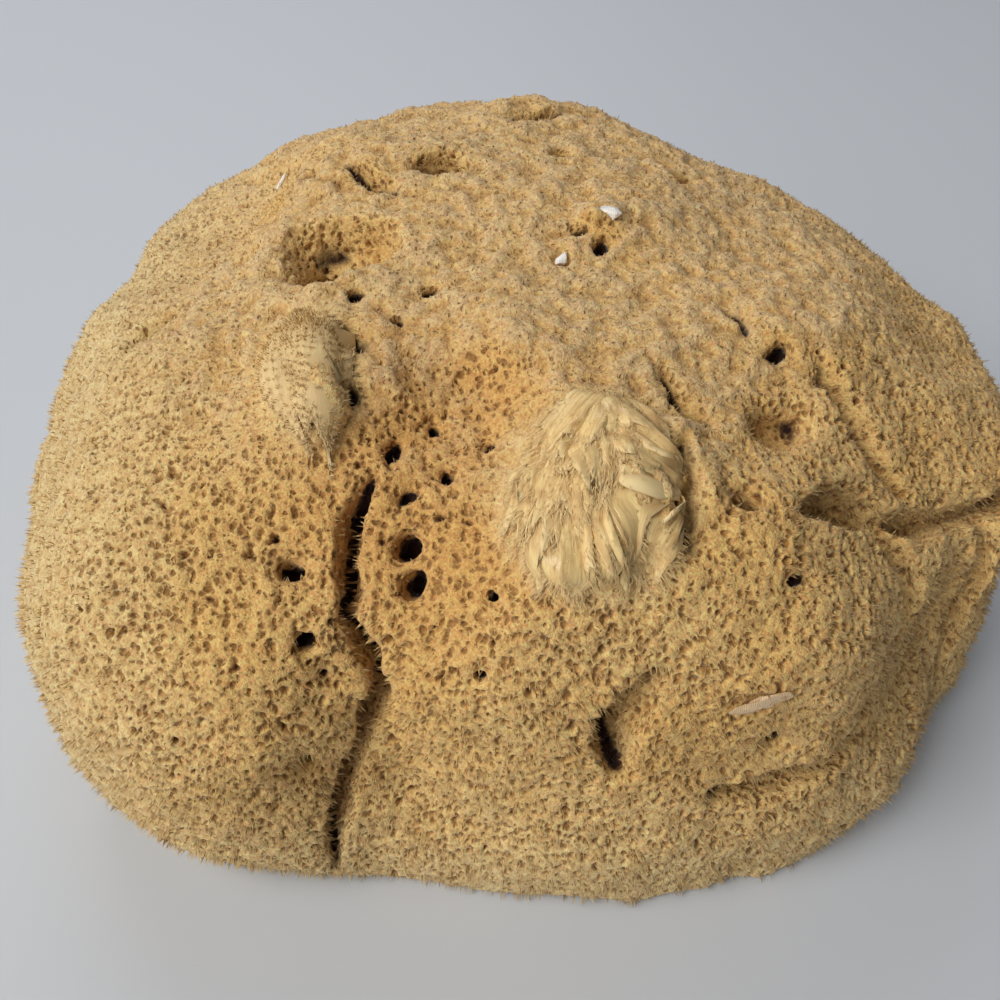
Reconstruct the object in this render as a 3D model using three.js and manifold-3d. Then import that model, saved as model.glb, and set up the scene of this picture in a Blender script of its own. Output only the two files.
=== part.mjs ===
// A large natural bath sponge: a low, lumpy dome cut flat underneath where it grew on the sea bed.
// The sponge itself is one piece; four bits of shell and spine that it grew around are pieces of their own.
// Millimetres, +Z up, -Y toward the broad front. The origin ends up under the middle, on the flat underside.
import * as THREE from "three";
import { ImprovedNoise } from "three/addons/math/ImprovedNoise.js";
import { mergeVertices } from "three/addons/utils/BufferGeometryUtils.js";
import Module from "manifold-3d";

const wasm = await Module();
wasm.setup();

// Driving dimensions
const HALF_WIDTH = 110;
const HALF_DEPTH = 96;
const HEIGHT = 112;
const HEART = new THREE.Vector3(0, 0, 40); // the point that the body is seen to grow out from
const SKIN_DETAIL = 13; // how finely the starting ball is divided
const SHELL_GAP = 0.3; // air left around each bit of shell in its pocket
const SMOOTHING = 0.44; // corners that stand out less than this are dropped, to keep the facets few

// The lobes that have grown together: centre, the three half-sizes, how square the lobe is (2 is an
// ellipsoid), and how softly it runs into the lobes before it.
const LOBES = [
  { name: "heart", at: [-4, 4, 44], half: [97, 86, 60], square: 2.7, blend: 9 },
  { name: "crown", at: [-12, 32, 57], half: [60, 53, 53], square: 3, blend: 8 },
  { name: "left cheek", at: [-56, -36, 35], half: [50, 57, 54], square: 2.4, blend: 9 },
  { name: "left rear", at: [-73, -6, 46], half: [41, 49, 45], square: 2.1, blend: 6 },
  { name: "back left", at: [-60, 43, 45], half: [46, 44, 50], square: 2.4, blend: 7 },
  { name: "front", at: [12, -43, 31], half: [56, 49, 63], square: 3, blend: 4 },
  { name: "foot", at: [-8, -62, 8], half: [36, 30, 20], square: 2.3, blend: 6 },
  { name: "skirt", at: [43, -34, 12], half: [47, 48, 32], square: 2.4, blend: 3 },
  { name: "first pleat", at: [70, -32, 34], half: [20, 23, 44], square: 2.4, blend: 2 },
  { name: "second pleat", at: [81, -24, 33], half: [22, 28, 44], square: 2.6, blend: 4 },
  { name: "right flank", at: [75, 4, 53], half: [30, 34, 31], square: 2.3, blend: 6 },
  { name: "back right", at: [37, 38, 38], half: [45, 42, 40], square: 2.2, blend: 9 },
];

// Swells of the skin: how far apart they stand and how far they push it in or out.
const SWELLS = [
  { apart: 34, push: 2.2 },
  { apart: 15, push: 1.3 },
];

// Broad dents, pressed in before anything is cut: centre, half-sizes, squareness.
const DENTS = [
  { name: "orange hollow", at: [-17, -66, 101], half: [19, 27, 13], square: 2.2 },
  { name: "saddle", at: [26, -18, 112], half: [26, 18, 9], square: 2.2 },
  { name: "behind the shelf", at: [70, -46, 100], half: [16, 20, 16], square: 2.2 },
];

// Leaves that stand up off the skin: middle, the way they run, half-length, half-width, thickness, how
// much wider they get toward their free end.
const LEAVES = [
  { name: "ear", at: [-43, -46, 97], run: [0.22, -1, 0], long: 16, wide: 7, thick: 6, flare: -0.15 },
  { name: "torn tuft", at: [6, -67, 90], run: [0, -1, 0], long: 19, wide: 14, thick: 6, flare: 0.45 },
  { name: "tuft ridge", at: [23, -62, 92], run: [0.55, -1, 0], long: 10, wide: 3.2, thick: 3.5, flare: 0.1 },
  { name: "knob", at: [12.5, -3, 107], run: [-1, -0.3, 0], long: 4.6, wide: 3.2, thick: 4, flare: 0.2 },
];

// Pits: where each opens, half-width, depth below the skin, length for its width, the way the length
// runs, how it leans going in, and how far above the skin the cut begins where a leaf stands there. A
// name heads its like.
const PITS = [
  { name: "crown hollow", at: [-42, -8, 103], wide: 9, deep: 12, long: 1.6, run: [1, 0.06, 0], sides: 16 },
  {
    name: "crown hole", at: [-45, -10, 103],
    wide: 5, deep: 23, long: 1.4, run: [1, 0, 0], lean: [-0.15, 0.1, 0],
  },
  { name: "square hole", at: [-22, 18, 112], wide: 4.6, deep: 15, long: 1.1, run: [1, 0, 0] },
  { name: "small crown holes", at: [-23, -23, 103], wide: 2.2, deep: 6 },
  { at: [-36, -24, 102], wide: 2.1, deep: 6, long: 1.3, run: [1, 0, 0] },
  { at: [-28, -31, 101], wide: 1.9, deep: 5 },
  { at: [5, 27, 112], wide: 2.6, deep: 8 },
  { at: [-52, 22, 106], wide: 1.9, deep: 5, long: 1.5, run: [1, 0.5, 0] },
  { at: [11, -10, 104], wide: 2.4, deep: 6, long: 1.5, run: [0.6, 1, 0] },
  { at: [7, -6, 106], wide: 1.8, deep: 6 },
  { name: "left hollow", at: [-81, -18, 91], wide: 3.8, deep: 8, long: 1.7, run: [1, 0.2, 0] },
  { name: "dimple", at: [43, -52, 94], wide: 5.4, deep: 5.5, long: 1.25, run: [1, 0.3, 0], sides: 12 },
  { name: "shelf holes", at: [43, -37, 97], wide: 2.2, deep: 7, long: 1.5, run: [0.5, 1, 0] },
  { at: [51, -41, 94], wide: 1.6, deep: 4, long: 1.8, run: [1, 0, 0] },
  { at: [34, 28, 105], wide: 3, deep: 7, long: 1.3, run: [1, 0.4, 0] },
  {
    name: "under the ear", at: [-35.5, -37, 101],
    wide: 3.4, deep: 10, long: 1.4, run: [0, 1, 0], lean: [-0.7, 0, 0],
  },
  { at: [-34, -50, 96], wide: 2.6, deep: 9, long: 1.2, run: [0, 1, 0], lean: [-0.7, 0, 0] },
  { name: "ear pit", at: [-42.5, -50, 99], wide: 2, deep: -1, above: 9, long: 2.2, run: [0.3, -1, 0] },
  { name: "star", at: [-27, -58, 90], wide: 1.8, deep: 7, long: 1.5, run: [0.4, 1, 0] },
  { name: "hollow pores", at: [-18, -61, 88], wide: 1.6, deep: 6 },
  { at: [-12, -56, 92], wide: 1.4, deep: 5 },
  { at: [-20, -53, 92], wide: 1.3, deep: 5 },
  { name: "black holes", at: [-25, -73, 82], wide: 2.3, deep: 9, long: 1.5, run: [0.2, 0, 1] },
  { at: [-24, -78, 77], wide: 2.3, deep: 9, long: 1.3, run: [0.4, 0, 1] },
  { at: [-9, -77, 74], wide: 1.5, deep: 6 },
  { at: [-11, -84, 64], wide: 1.4, deep: 5 },
  { name: "round holes", at: [-44, -76, 80], wide: 1.9, deep: 9, long: 1.5, run: [1, 0, 0] },
  { at: [-41, -85, 70], wide: 2, deep: 8 },
  { at: [-37, -89, 64], wide: 1.3, deep: 5 },
  { at: [-41, -95, 41], wide: 1.9, deep: 8, long: 1.6, run: [0.6, 0, -1] },
  { name: "right hole", at: [32, -69, 89], wide: 2.5, deep: 12, long: 1.2, run: [1, 0, 0] },
  { at: [41, -79, 80], wide: 1.3, deep: 5, long: 2, run: [1, 0, 0.2] },
  { at: [41, -90, 46], wide: 1.6, deep: 6, long: 1.3, run: [0.2, 0, 1] },
  { name: "left pits", at: [-92, -57, 66], wide: 1.6, deep: 5 },
  { at: [-100, -36, 56], wide: 2.2, deep: 7, long: 1.5, run: [0, 0.3, 1] },
  { name: "back vents", at: [-30, 84, 66], wide: 5, deep: 15, long: 1.2, run: [1, 0, 0.3] },
  { at: [22, 80, 72], wide: 3.4, deep: 11 },
  { at: [54, 76, 38], wide: 3.8, deep: 12, long: 1.3, run: [1, 0, 1] },
  { at: [-66, 76, 32], wide: 3, deep: 9 },
  { at: [4, 90, 34], wide: 2.4, deep: 8, long: 1.4, run: [0, 0, 1] },
  { at: [-4, 62, 106], wide: 3, deep: 9 },
  { at: [100, 22, 46], wide: 2.6, deep: 8 },
];

// Canals that the flat cut has opened on the underside.
const CANALS = [
  { at: [-62, -30, 0], wide: 4, deep: 10, long: 1.3, run: [1, 0.4, 0] },
  { at: [-36, 36, 0], wide: 2.8, deep: 8 },
  { at: [42, -44, 0], wide: 3.4, deep: 9 },
  { at: [60, 22, 0], wide: 4.4, deep: 11, long: 1.2, run: [0.3, 1, 0] },
  { at: [14, 54, 0], wide: 2.6, deep: 7 },
  { at: [-8, -58, 0], wide: 2.4, deep: 7 },
];

// Clefts: the skin points they run through, width at the mouth, depth, and how the blade leans going in.
// Those that only score a leaf begin well above the skin and end short of it.
const CLEFTS = [
  {
    name: "long front cleft",
    path: [
      [-30, -64, 90], [-34, -70, 85], [-35, -75, 80], [-33, -80, 76], [-34, -83, 73], [-31, -86, 67],
      [-30, -89, 59], [-31, -92, 50], [-35, -94, 38], [-40, -93, 22], [-42, -90, 6],
    ],
    wide: 4.4, deep: 13,
  },
  { name: "curved slit", path: [[-27, -69, 86], [-25, -66, 88], [-22, -66, 88]], wide: 3, deep: 8 },
  {
    name: "crescent slit",
    path: [[17, -91, 65], [13, -92, 59], [11, -93, 51], [12, -93, 45]],
    wide: 9.5, deep: 15, lean: [-0.35, 0, 0],
  },
  { name: "crown slot", path: [[-43, 22, 108], [-38, 14, 109], [-31, 9, 109]], wide: 5, deep: 9 },
  { name: "crown wrinkles", path: [[23, 3, 105], [27, -7, 104]], wide: 4, deep: 7 },
  { path: [[30, -24, 101], [36, -29, 99], [38, -36, 98]], wide: 3.4, deep: 6 },
  { path: [[48, 6, 98], [56, -2, 93], [60, -12, 90]], wide: 4, deep: 5 },
  { path: [[-12, 42, 112], [2, 46, 111], [10, 52, 108]], wide: 4, deep: 6 },
  { name: "beside the tuft", path: [[20, -45, 98], [24, -52, 96], [29, -55, 95]], wide: 5, deep: 8 },
  { path: [[21, -60, 93], [20, -69, 90], [22, -78, 84]], wide: 5.5, deep: 9, above: 6 },
  { path: [[29, -64, 92], [32, -69, 89]], wide: 3, deep: 7 },
  {
    name: "folds of the tuft",
    path: [[4, -60, 95], [0, -70, 90], [-3, -78, 83]],
    wide: 3, deep: -2.5, above: 9,
  },
  { path: [[9, -60, 95], [10, -70, 91], [9, -80, 83]], wide: 3, deep: -2.5, above: 9 },
  {
    name: "behind the front lobe",
    path: [
      [46, -68, 88], [54, -64, 86], [60, -61, 82], [64, -62, 75], [67, -65, 68], [70, -67, 56], [69, -73, 45],
      [64, -79, 37], [55, -85, 34], [43, -89, 33], [34, -92, 33],
    ],
    wide: 9, deep: 14,
  },
  {
    name: "under the shelf",
    path: [[58, -62, 80], [72, -56, 72], [88, -46, 66], [102, -28, 62]],
    wide: 7, deep: 9,
  },
  {
    name: "shelf valley",
    path: [[50, -36, 95], [57, -44, 90], [63, -53, 85], [70, -56, 78]],
    wide: 7, deep: 6,
  },
  {
    name: "between the pleats",
    path: [[85, -50, 72], [88, -48, 56], [87, -48, 36], [84, -50, 14]],
    wide: 6, deep: 8,
  },
  { path: [[104, -24, 70], [107, -20, 50], [104, -20, 26]], wide: 6, deep: 7 },
  {
    name: "left pleats",
    path: [[-100, -22, 76], [-107, -26, 56], [-108, -30, 34], [-104, -32, 12]],
    wide: 5, deep: 6,
  },
  { path: [[-84, -64, 66], [-86, -72, 46], [-84, -76, 24]], wide: 4, deep: 4 },
  { path: [[-104, 14, 70], [-110, 12, 44], [-106, 8, 18]], wide: 6, deep: 7 },
  { name: "back folds", path: [[-2, 80, 92], [-10, 88, 66], [-6, 90, 40], [-14, 88, 14]], wide: 6, deep: 9 },
  { path: [[72, 62, 72], [80, 60, 46], [76, 58, 16]], wide: 5, deep: 7 },
  { path: [[-84, 64, 74], [-90, 62, 48], [-86, 58, 20]], wide: 5, deep: 7 },
];

// Bits of shell: middle, the way they lie, half-sizes along, across and through, how far they stand out
// of the skin.
const SHELLS = [
  {
    name: "shell_chip_crown", at: [12.5, -4, 108], run: [1, -0.25, 0],
    half: [3.3, 1.7, 0.7], out: 0.5, color: 0xf1ece0,
  },
  {
    name: "shell_grain_crown", at: [3, -14, 104], run: [0.3, 1, 0],
    half: [1.7, 1.1, 0.8], out: 0.2, color: 0xeee8da,
  },
  {
    name: "spine_sliver", at: [-61, 34, 99], run: [0.2, 0.6, 1],
    half: [3.2, 0.6, 0.6], out: 0.2, color: 0xece3cf,
  },
  {
    name: "shell_flake_front", at: [35, -92, 59], run: [1, 0, 0.1],
    half: [4.2, 2, 0.7], out: 0.2, color: 0xd8b98a,
  },
];

const noise = new ImprovedNoise();

// Distance from a point to a lobe, near enough to blend by.
function lobeDistance(point, { at, half, square }) {
  const share = [0, 1, 2].map((i) => Math.abs(point.getComponent(i) - at[i]) / half[i]);
  const near = share.reduce((sum, s) => sum + s ** square, 0) ** (1 / square);
  if (near < 1e-6) return -Math.min(...half);
  const slope = Math.hypot(...share.map((s, i) => (s / near) ** (square - 1) / half[i]));
  return (near - 1) / slope;
}

function smoothMin(a, b, width) {
  const h = Math.max(width - Math.abs(a - b), 0) / width;
  return Math.min(a, b) - (h * h * width) / 4;
}

function swell(point) {
  return SWELLS.reduce((sum, { apart, push }) => {
    return sum + 2 * push * noise.noise(point.x / apart + 7, point.y / apart + 3, point.z / apart);
  }, 0);
}

// How far a point lies outside the skin, in millimetres; less than nothing inside it.
function field(point) {
  const grown = LOBES.reduce((least, lobe) => smoothMin(least, lobeDistance(point, lobe), lobe.blend), 1e3);
  const pressed = DENTS.reduce((most, dent) => -smoothMin(-most, lobeDistance(point, dent), 7), grown);
  return pressed - swell(point);
}

function outward(point) {
  const step = 3;
  const slope = [0, 1, 2].map((i) => {
    const more = point.clone().setComponent(i, point.getComponent(i) + step);
    const less = point.clone().setComponent(i, point.getComponent(i) - step);
    return field(more) - field(less);
  });
  return new THREE.Vector3(...slope).normalize();
}

// The skin point nearest to a given one, and the way out from there.
function onSkin(near) {
  const point = new THREE.Vector3(...near);
  for (let i = 0; i < 6; i++) point.addScaledVector(outward(point), -field(point));
  return { point, out: outward(point) };
}

// How far out from the heart the skin lies, in one direction.
function reach(direction) {
  const point = new THREE.Vector3();
  let outside = 160;
  let inside = outside;
  while (inside > 0 && field(point.copy(HEART).addScaledVector(direction, inside)) > 0) {
    outside = inside;
    inside -= 2;
  }
  for (let i = 0; i < 12; i++) {
    const middle = (inside + outside) / 2;
    if (field(point.copy(HEART).addScaledVector(direction, middle)) > 0) outside = middle;
    else inside = middle;
  }
  return inside;
}

// Points shared and flat triangles dropped, so that a shape closes.
function closed(geometry) {
  geometry.deleteAttribute("normal");
  geometry.deleteAttribute("uv");
  const merged = mergeVertices(geometry, 1e-4);
  const index = merged.index.array;
  const kept = [];
  for (let i = 0; i < index.length; i += 3) {
    const [a, b, c] = [index[i], index[i + 1], index[i + 2]];
    if (a !== b && b !== c && c !== a) kept.push(a, b, c);
  }
  merged.setIndex(kept);
  return merged;
}

// Move every point of a geometry by a rule.
function reshape(geometry, rule) {
  const place = geometry.getAttribute("position");
  const point = new THREE.Vector3();
  for (let i = 0; i < place.count; i++) {
    point.copy(rule(point.fromBufferAttribute(place, i).clone()));
    place.setXYZ(i, point.x, point.y, point.z);
  }
  return geometry;
}

function toSolid(geometry) {
  return new wasm.Manifold(
    new wasm.Mesh({
      numProp: 3,
      vertProperties: new Float32Array(geometry.getAttribute("position").array),
      triVerts: new Uint32Array(geometry.index.array),
    }),
  );
}

function toGeometry(solid) {
  const mesh = solid.getMesh();
  return new THREE.BufferGeometry()
    .setAttribute("position", new THREE.BufferAttribute(mesh.vertProperties, 3))
    .setIndex(new THREE.BufferAttribute(mesh.triVerts, 1));
}

// Axes on the skin: out is the way out, run the way something lies along it, side across it.
function axes(out, run = [1, 0.3, 0.2]) {
  const along = new THREE.Vector3(...run);
  along.addScaledVector(out, -along.dot(out)).normalize();
  return { out, along, side: new THREE.Vector3().crossVectors(along, out) };
}

function bodySolid() {
  const stretch = new THREE.Vector3(HALF_WIDTH, HALF_DEPTH, HEIGHT * 0.6);
  const ball = closed(new THREE.IcosahedronGeometry(1, SKIN_DETAIL));
  return toSolid(
    reshape(ball, (point) => {
      const direction = point.multiply(stretch).normalize();
      return direction.multiplyScalar(reach(direction)).add(HEART);
    }),
  );
}

// A leaf lies over the skin and follows its curve.
function leafSolid({ at, run, long, wide, thick, flare }) {
  const { point: middle, out } = onSkin(at);
  const { along, side } = axes(out, run);
  const ball = closed(new THREE.IcosahedronGeometry(1, 3));
  return toSolid(
    reshape(ball, ({ x, y, z }) => {
      const ragged = 1 + 0.12 * Math.sin(5 * y + at[0]) * Math.sign(x);
      const near = middle.clone().addScaledVector(side, x * wide * (1 + flare * y) * ragged);
      near.addScaledVector(along, y * long * (1 + 0.1 * Math.sin(6 * x)));
      const foot = onSkin(near.toArray());
      const rise = thick * (0.65 + 0.35 * y) * Math.sqrt(Math.abs(z));
      return foot.point.addScaledVector(foot.out, z > 0 ? rise : z * 3);
    }),
  );
}

// A pit is a blunt plug with a wavy outline, sunk from just above the skin.
function pitSolid({ at, wide, deep, above, long = 1, run, lean = [0, 0, 0], sides }, surface) {
  const { point, out } = surface ?? onSkin(at);
  const into = out.clone().negate().add(new THREE.Vector3(...lean)).normalize();
  const { along, side } = axes(into.clone().negate(), run);
  const lip = above ?? Math.min(4, wide + 1);
  const down = (share) => lip - share * (lip + deep);
  const bowl = [[0, down(1)], [0.6, down(0.92)], [0.9, down(0.5)]];
  const floor = wide > 2 ? bowl : [[0, down(1)], [0.75, down(0.85)]];
  const turned = [...floor, [1.3, lip], [0, lip]].map(([x, y]) => new THREE.Vector2(x, y));
  const count = sides ?? (wide > 3 ? 11 : 8);
  const plug = closed(new THREE.LatheGeometry(turned, count));
  const phase = at[0] + at[1] * 2;
  return toSolid(
    reshape(plug, ({ x, y, z }) => {
      const angle = Math.atan2(z, x);
      const wave = 1 + 0.13 * Math.sin(2 * angle + phase) + 0.1 * Math.sin(3 * angle + phase * 1.7);
      const spot = point.clone().addScaledVector(along, x * wide * long * wave);
      spot.addScaledVector(side, z * wide * wave);
      return spot.addScaledVector(into, -y);
    }),
  );
}

// A cleft is a blade with a wide back and a thin edge, drawn along the skin and dying out at both ends.
function cleftSolid({ path, wide, deep, above = 4, lean = [0, 0, 0] }) {
  const feet = path.map(onSkin);
  const spots = [];
  feet.forEach(({ point, out }, i) => {
    const before = feet[Math.max(i - 1, 0)].point;
    const after = feet[Math.min(i + 1, feet.length - 1)].point;
    const run = after.clone().sub(before).normalize();
    const end = i === 0 || i === feet.length - 1;
    const into = out.clone().negate().add(new THREE.Vector3(...lean)).normalize();
    const side = new THREE.Vector3().crossVectors(run, into).normalize();
    const half = (end ? 0.35 : 1) * (i % 2 ? 1 : 0.82) * (wide / 2);
    const depth = end ? deep * 0.35 - above * 0.1 : deep;
    const waist = -above + (depth + above) * 0.55;
    const foot = end ? point.clone().addScaledVector(run, i === 0 ? -wide * 0.4 : wide * 0.4) : point;
    [[-1.25, -above], [-0.8, waist], [0, depth], [0.8, waist], [1.25, -above]].forEach(
      ([across, down]) => {
        spots.push(foot.clone().addScaledVector(side, across * half).addScaledVector(into, down));
      },
    );
  });
  const ring = 5;
  const last = (feet.length - 1) * ring;
  const index = [];
  for (let start = 0; start < last; start += ring) {
    for (let k = 0; k < ring; k++) {
      const [a, b] = [start + k, start + ((k + 1) % ring)];
      index.push(a, b, b + ring, a, b + ring, a + ring);
    }
  }
  for (let k = 1; k < ring - 1; k++) {
    index.push(0, k + 1, k);
    index.push(last, last + k, last + k + 1);
  }
  const blade = new THREE.BufferGeometry().setIndex(index);
  blade.setAttribute("position", new THREE.Float32BufferAttribute(spots.flatMap((s) => s.toArray()), 3));
  return toSolid(blade);
}

// A bit of shell is a thin, chipped oval; grow makes the pocket that it lies in.
function shellSolid({ at, run, half, out: stand }, grow = 0) {
  const { point, out } = onSkin(at);
  const { along, side } = axes(out, run);
  const chip = closed(new THREE.SphereGeometry(1, 8, 4));
  return toSolid(
    reshape(chip, ({ x, y, z }) => {
      const angle = Math.atan2(z, x);
      const wave = 1 + 0.12 * Math.sin(3 * angle + at[0]);
      const spot = point.clone().addScaledVector(out, stand + y * (half[2] + grow));
      spot.addScaledVector(along, x * wave * (half[0] + grow));
      return spot.addScaledVector(side, z * wave * (half[1] + grow));
    }),
  );
}

const union = (solids) => solids.reduce((all, solid) => all.add(solid));
const ground = closed(new THREE.BoxGeometry(400, 400, 100).translate(0, 0, -50));
const flatUnderneath = { point: new THREE.Vector3(), out: new THREE.Vector3(0, 0, -1) };
let body = union([bodySolid(), ...LEAVES.map(leafSolid)]);
body = body.subtract(union(CLEFTS.map(cleftSolid)));
body = body.subtract(union(PITS.map((pit) => pitSolid(pit))));
body = body.simplify(SMOOTHING).subtract(toSolid(ground));
CANALS.forEach((canal) => {
  const surface = { ...flatUnderneath, point: new THREE.Vector3(...canal.at) };
  body = body.subtract(pitSolid(canal, surface));
});

body = body.subtract(union(SHELLS.map((shell) => shellSolid(shell, SHELL_GAP))));

function named(name, solid, color, roughness) {
  const material = new THREE.MeshStandardMaterial({ color, roughness, metalness: 0 });
  const mesh = new THREE.Mesh(toGeometry(solid), material);
  mesh.name = name;
  return mesh;
}

const group = new THREE.Group();
group.add(named("sponge", body, 0xcfa96a, 0.95));
SHELLS.forEach((shell) => group.add(named(shell.name, shellSolid(shell), shell.color, 0.35)));

// The origin goes under the middle of the whole.
const middle = new THREE.Box3().setFromObject(group).getCenter(new THREE.Vector3());
group.children.forEach((mesh) => mesh.geometry.translate(-middle.x, -middle.y, 0));

export default group;
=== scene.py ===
# A large natural bath sponge: porous skin, a coat of short fibres, a torn waxy tuft, an ear-like flap
# and bits of shell.
import math

import bmesh
import bpy
import numpy as np
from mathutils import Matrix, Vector
from mathutils.kdtree import KDTree


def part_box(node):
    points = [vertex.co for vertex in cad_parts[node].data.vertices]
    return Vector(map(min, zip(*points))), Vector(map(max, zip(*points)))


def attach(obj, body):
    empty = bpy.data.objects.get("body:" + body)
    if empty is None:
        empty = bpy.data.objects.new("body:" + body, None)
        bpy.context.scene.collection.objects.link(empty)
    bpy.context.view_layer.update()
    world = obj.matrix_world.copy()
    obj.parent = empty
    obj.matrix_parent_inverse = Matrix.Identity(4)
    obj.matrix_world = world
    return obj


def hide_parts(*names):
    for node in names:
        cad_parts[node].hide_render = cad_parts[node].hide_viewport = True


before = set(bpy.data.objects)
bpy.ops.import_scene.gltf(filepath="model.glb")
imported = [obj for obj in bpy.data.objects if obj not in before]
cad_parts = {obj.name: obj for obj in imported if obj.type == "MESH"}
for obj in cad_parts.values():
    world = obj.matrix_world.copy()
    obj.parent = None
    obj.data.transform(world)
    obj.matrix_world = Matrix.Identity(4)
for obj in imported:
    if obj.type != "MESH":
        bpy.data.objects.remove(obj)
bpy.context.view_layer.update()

MM = 0.001
GRAIN = 0.56 * MM         # spacing of the skin's points before it is thinned out
SKIN_TRIANGLES = 655000   # what is kept of the skin
PIECE_TRIANGLES = 188000  # the most that one piece of it may have
FLOOR_GAP = 0.05 * MM     # how near the floor any point may come
WIDE_PORE_APART = 2.4 * MM
PORE_APART = 1.15 * MM
PORE_BEND = 2.0 * MM      # how far the pores are drawn out of their even net
HOLE_APART = 4.6 * MM     # in the orange hollow
rng = np.random.default_rng(7)


def new_object(name, data):
    made = bpy.data.objects.new(name, data)
    bpy.context.scene.collection.objects.link(made)
    return made


# Node helpers, for both the shape and the materials.

def put(tree, kind, inputs=None, **settings):
    """Adds a node, sets its settings, and feeds its inputs with values or with other nodes' outputs."""
    node = tree.nodes.new(kind)
    for name, value in settings.items():
        setattr(node, name, value)
    for key, value in (inputs or {}).items():
        socket = node.inputs[key]
        if isinstance(value, bpy.types.NodeSocket):
            tree.links.new(value, socket)
        else:
            socket.default_value = value
    return node


def sum_of(tree, operation, *values):
    return put(tree, "ShaderNodeMath", dict(enumerate(values)), operation=operation).outputs[0]


def vector_sum(tree, operation, a, b):
    return put(tree, "ShaderNodeVectorMath", {0: a, 1: b}, operation=operation).outputs[0]


def ramp(tree, value, low, high, to_low=0.0, to_high=1.0):
    """A soft step: to_low at or below low, to_high at or above high."""
    inputs = {"Value": value, "From Min": low, "From Max": high, "To Min": to_low, "To Max": to_high}
    return put(tree, "ShaderNodeMapRange", inputs, interpolation_type="SMOOTHSTEP").outputs[0]


def noise(tree, place, apart, detail=2.0, roughness=0.5):
    inputs = {"Vector": place, "Scale": 1 / apart, "Detail": detail, "Roughness": roughness}
    return put(tree, "ShaderNodeTexNoise", inputs)


def mix(tree, share, a, b, blend="MIX"):
    node = put(tree, "ShaderNodeMix", {0: share, 6: a, 7: b}, data_type="RGBA", blend_type=blend)
    return node.outputs[2]


def pore_pattern(tree, place, calm):
    """The sponge's pores, the same in the shape and in the colour: the wide pores, the common ones and the
    dark holes (0 on the walls, 1 in their middles), and how the skin is crumpled."""
    bent = noise(tree, place, 2.6 * MM, 2.0).outputs["Color"]
    bent = vector_sum(tree, "SUBTRACT", bent, (0.5, 0.5, 0.5))
    bent = vector_sum(tree, "MULTIPLY", bent, (PORE_BEND, PORE_BEND, PORE_BEND))
    spot = vector_sum(tree, "ADD", place, bent)
    tall = vector_sum(tree, "MULTIPLY", spot, (1.0, 1.0, 0.8))
    calmer = ramp(tree, calm, 0.0, 1.0, 1.0, 0.55)

    def cells(where, apart, largest, share):
        found = put(tree, "ShaderNodeTexVoronoi", {"Vector": where, "Scale": 1 / apart}, feature="F1")
        own = put(tree, "ShaderNodeSeparateXYZ", {0: found.outputs["Color"]}).outputs
        size = sum_of(tree, "MULTIPLY", ramp(tree, own[0], 1 - share, 1.0, 0.06, largest), calmer)
        away = sum_of(tree, "DIVIDE", found.outputs["Distance"], size)
        return ramp(tree, away, 0.45, 1.1, 1.0, 0.0)

    wide_pores = cells(tall, WIDE_PORE_APART, 0.36, 0.3)
    pores = cells(tall, PORE_APART, 0.62, 1.25)
    holes = cells(spot, HOLE_APART, 0.24, 0.6)
    crumple = noise(tree, place, 4.2 * MM, 3.0, 0.6).outputs[0]
    return wide_pores, pores, holes, crumple


# The skin: the solid's own form, made smooth where it is faceted and then given its pores.

def points_of(mesh, what="vertices", name="co", size=3):
    values = np.empty(len(getattr(mesh, what)) * size, np.float32)
    getattr(mesh, what).foreach_get(name, values)
    return values.reshape(-1, size).astype(np.float64)


def move_points(mesh, place):
    mesh.vertices.foreach_set("co", place.astype(np.float32).ravel())
    mesh.update()


def links_of(mesh):
    pairs = np.empty(len(mesh.edges) * 2, np.int32)
    mesh.edges.foreach_get("vertices", pairs)
    return pairs.reshape(-1, 2)


def averaged(values, pairs):
    """Each point's value replaced by the mean of its neighbours'."""
    count = np.bincount(pairs.ravel(), minlength=len(values)).astype(np.float64)
    sides = [(pairs[:, 0], pairs[:, 1]), (pairs[:, 1], pairs[:, 0])]
    columns = []
    for column in values.reshape(len(values), -1).T:
        total = sum(np.bincount(to, column[away], minlength=len(values)) for to, away in sides)
        columns.append(total / count)
    return np.stack(columns, axis=1).reshape(values.shape)


def evaluated(piece):
    """The piece's mesh with its modifiers applied, as a new mesh."""
    graph = bpy.context.evaluated_depsgraph_get()
    return bpy.data.meshes.new_from_object(piece.evaluated_get(graph))


def fine_skin():
    """The solid as a fine even mesh."""
    draft = new_object("draft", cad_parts["sponge"].data.copy())
    weld = draft.modifiers.new("weld", "WELD")
    weld.merge_threshold = 0.001 * MM
    remesh = draft.modifiers.new("even", "REMESH")
    remesh.mode = "VOXEL"
    remesh.voxel_size = GRAIN
    mesh = evaluated(draft)
    bpy.data.objects.remove(draft)
    return mesh


def set_field(mesh, name, values):
    kind = "FLOAT_VECTOR" if values.ndim == 2 else "FLOAT"
    field = mesh.attributes.new(name, kind, "POINT")
    field.data.foreach_set("vector" if values.ndim == 2 else "value", values.astype(np.float32).ravel())


def get_field(mesh, name):
    field = mesh.attributes[name]
    size = 3 if field.data_type == "FLOAT_VECTOR" else 1
    values = np.empty(len(mesh.vertices) * size, np.float32)
    field.data.foreach_get("vector" if size == 3 else "value", values)
    return values.reshape(-1, 3) if size == 3 else values


# Places on the sponge, in millimetres: middle and half-sizes.
EAR = ((-38.5, -44, 98), (10, 19, 11))
TORN_TUFT = ((10.5, -65, 88), (17, 21, 14))
ORANGE_HOLLOW = ((-17, -60, 88), (26, 34, 26))
CROWN_HOLLOW = ((-34, -6.5, 100), (17, 12, 16))

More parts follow.
